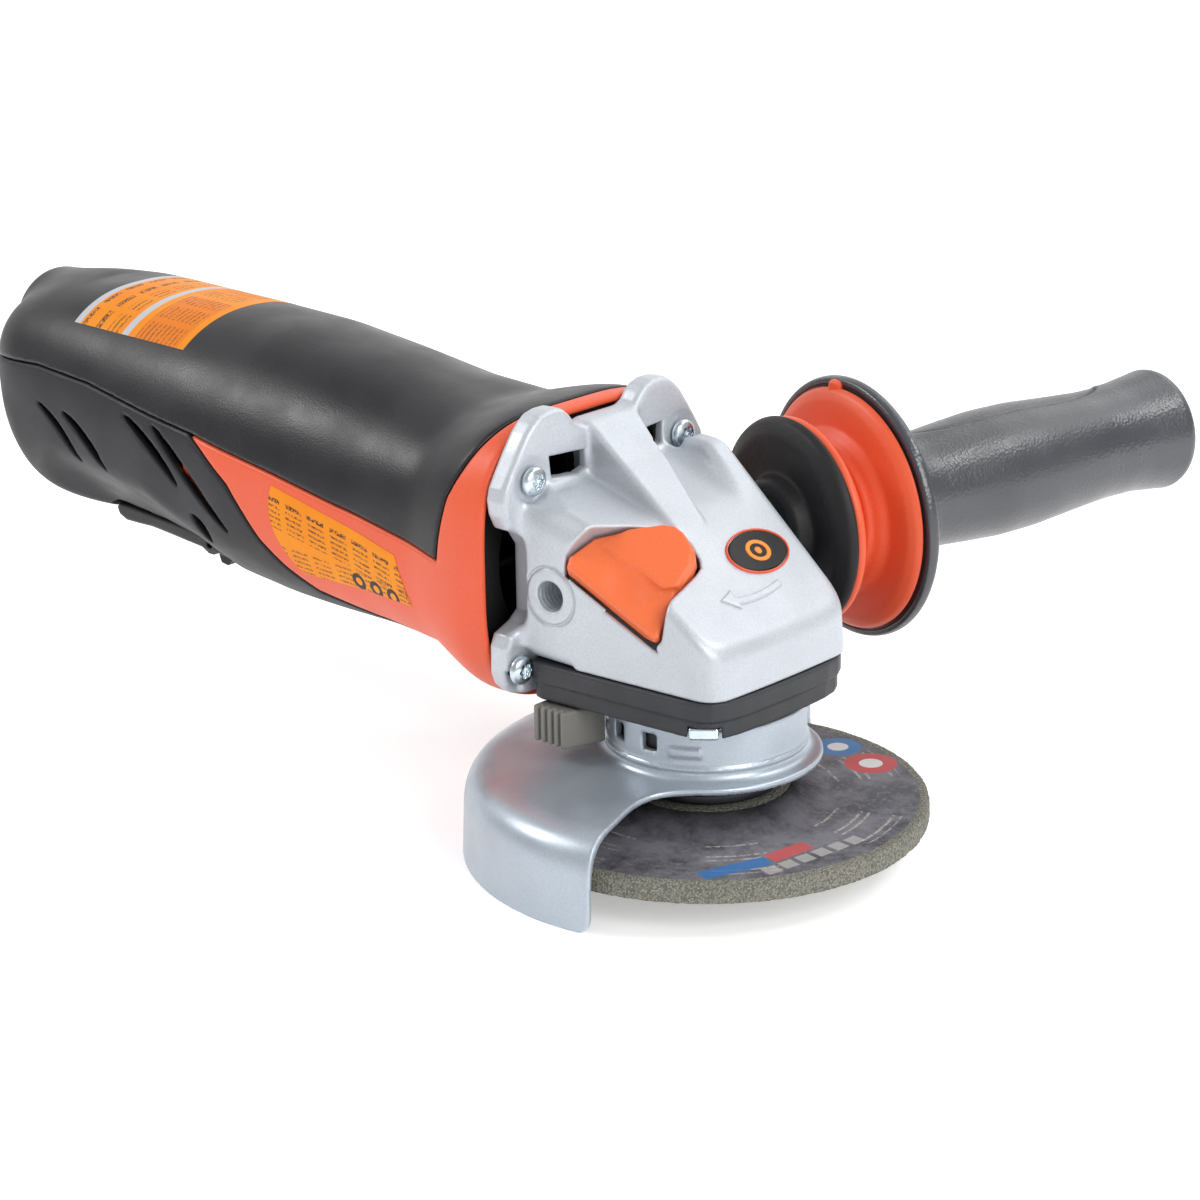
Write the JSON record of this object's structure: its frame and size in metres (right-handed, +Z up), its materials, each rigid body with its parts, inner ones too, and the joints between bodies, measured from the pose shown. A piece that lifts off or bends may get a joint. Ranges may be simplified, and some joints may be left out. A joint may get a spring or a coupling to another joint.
{
  "type": "angle grinder",
  "caption": "Corded angle grinder with a wedge gear case, depressed-centre wheel, turning guard, side handle and a paddle switch under the rear grip.",
  "frame": {"origin": "centre of the spindle's lower end face, under the wheel", "axes": "+X from the rear grip to the nose, +Y towards the side handle, +Z up along the spindle; the wheel is underneath"},
  "size_m": [0.3535, 0.262, 0.1265],
  "materials": {
    "cast_aluminium": "cast, satin",
    "bearing_steel": "ground",
    "blackened_steel": "blackened",
    "zinc_plated_steel": "zinc plated, bright",
    "guard_steel": "plated, satin",
    "coated_plate": "dark coating, matt",
    "orange_plastic": "fine grain",
    "black_plastic": "fine grain",
    "charcoal_plastic": "fine grain",
    "soft_rubber": "matt",
    "lever_plastic": "matt",
    "bonded_abrasive": "coarse, printed paper label",
    "laminated_steel": "varnished laminations",
    "copper_winding": "enamelled wire",
    "carbon": "pressed carbon",
    "circuit_board": "lacquered",
    "holder_brass": "plain"
  },
  "bodies": {
    "tool_body": {"gear_case": "cast_aluminium", "base_plate": "coated_plate", "motor_housing": "orange_plastic", "top_cover": "black_plastic", "lower_shell": "charcoal_plastic", "cord_inlet": "soft_rubber", "air_baffle": "charcoal_plastic", "case_screw_1": "zinc_plated_steel", "case_screw_2": "zinc_plated_steel", "case_screw_3": "zinc_plated_steel", "case_screw_4": "zinc_plated_steel", "plate_screw_1": "zinc_plated_steel", "plate_screw_2": "zinc_plated_steel", "plate_screw_3": "zinc_plated_steel", "plate_screw_4": "zinc_plated_steel", "spindle_bearing": "bearing_steel", "spindle_bush": "bearing_steel", "front_bearing": "bearing_steel", "rear_bearing": "bearing_steel", "stator_core": "laminated_steel", "stator_coil_front": "copper_winding", "stator_coil_rear": "copper_winding", "switch_body": "charcoal_plastic", "electronics_board": "circuit_board", "guard_lever_pin": "bearing_steel", "paddle_pin": "bearing_steel", "brush_holder_left": "holder_brass", "brush_spring_left": "bearing_steel", "brush_holder_right": "holder_brass", "brush_spring_right": "bearing_steel", "badge": "charcoal_plastic"},
    "spindle_group": {"spindle": "bearing_steel", "crown_gear": "blackened_steel", "inner_flange": "blackened_steel", "grinding_wheel": "bonded_abrasive", "clamp_nut": "blackened_steel"},
    "armature_group": {"armature_shaft": "bearing_steel", "pinion": "blackened_steel", "rotor_core": "laminated_steel", "commutator": "copper_winding", "fan": "charcoal_plastic"},
    "guard": {"guard": "guard_steel"},
    "guard_lever": {"guard_lever": "lever_plastic"},
    "lock_button": {"lock_button": "orange_plastic"},
    "lock_pin": {"lock_pin": "bearing_steel"},
    "paddle": {"paddle": "black_plastic", "lock_off_pin": "bearing_steel"},
    "lock_off_lever": {"lock_off_lever": "charcoal_plastic"},
    "switch_plunger": {"switch_plunger": "charcoal_plastic"},
    "brush_left": {"brush_left": "carbon"},
    "brush_right": {"brush_right": "carbon"},
    "side_handle": {"handle_stud": "zinc_plated_steel", "handle_disc": "soft_rubber", "handle_sleeve": "orange_plastic", "handle_grip": "black_plastic"}
  },
  "joints": [
    {"name": "spindle_spin", "type": "hinge", "parent": "tool_body", "child": "spindle_group", "pos_m": [0, 0, 0], "axis": [0, 0, 1], "continuous": true},
    {"name": "armature_spin", "type": "hinge", "parent": "tool_body", "child": "armature_group", "pos_m": [0, 0, 0.0695], "axis": [1, 0, 0], "continuous": true},
    {"name": "guard_turn", "type": "hinge", "parent": "tool_body", "child": "guard", "pos_m": [0, 0, 0], "axis": [0, 0, 1], "range_deg": [-120, 120]},
    {"name": "guard_lever_release", "type": "hinge", "parent": "tool_body", "child": "guard_lever", "pos_m": [-0.0285, -0.031, 0.03], "axis": [0, 0, -1], "range_deg": [0, 12], "stiffness_Nm_per_rad": 0.4, "springref_deg": -17.19},
    {"name": "lock_button_press", "type": "slide", "parent": "tool_body", "child": "lock_button", "axis": [-0.4141, 0.5792, -0.7022], "range_m": [0, 0.0034], "stiffness_N_per_m": 900, "springref_m": -0.004},
    {"name": "lock_pin_drop", "type": "slide", "parent": "tool_body", "child": "lock_pin", "axis": [0, 0, -1], "range_m": [0, 0.0025]},
    {"name": "paddle_squeeze", "type": "hinge", "parent": "tool_body", "child": "paddle", "pos_m": [-0.152, 0, 0.0385], "axis": [0, 1, 0], "range_deg": [0, 4.5], "stiffness_Nm_per_rad": 3, "springref_deg": -11.46},
    {"name": "lock_off_swing", "type": "hinge", "parent": "paddle", "child": "lock_off_lever", "pos_m": [-0.197, 0, 0.04], "axis": [0, -1, 0], "range_deg": [0, 20], "stiffness_Nm_per_rad": 0.02, "springref_deg": -22.92},
    {"name": "plunger_lift", "type": "slide", "parent": "tool_body", "child": "switch_plunger", "axis": [0, 0, 1], "range_m": [0, 0.0059]},
    {"name": "brush_left_lift", "type": "slide", "parent": "tool_body", "child": "brush_left", "axis": [0, 1, 0], "range_m": [0, 0.0025], "stiffness_N_per_m": 250, "springref_m": -0.008, "deforming": ["brush_spring_left"]},
    {"name": "brush_right_lift", "type": "slide", "parent": "tool_body", "child": "brush_right", "axis": [0, -1, 0], "range_m": [0, 0.0025], "stiffness_N_per_m": 250, "springref_m": -0.008, "deforming": ["brush_spring_right"]},
    {"name": "side_handle_turn", "type": "hinge", "parent": "tool_body", "child": "side_handle", "pos_m": [-0.0251, 0, 0.069], "axis": [0.2333, 0.972, 0.0292], "continuous": true}
  ],
  "couplings": [
    {"joint": "armature_spin", "follows": "spindle_spin", "ratio": -3},
    {"joint": "lock_pin_drop", "follows": "lock_button_press", "ratio": 0.7},
    {"joint": "plunger_lift", "follows": "paddle_squeeze", "m_per_rad": 0.074}
  ]
}
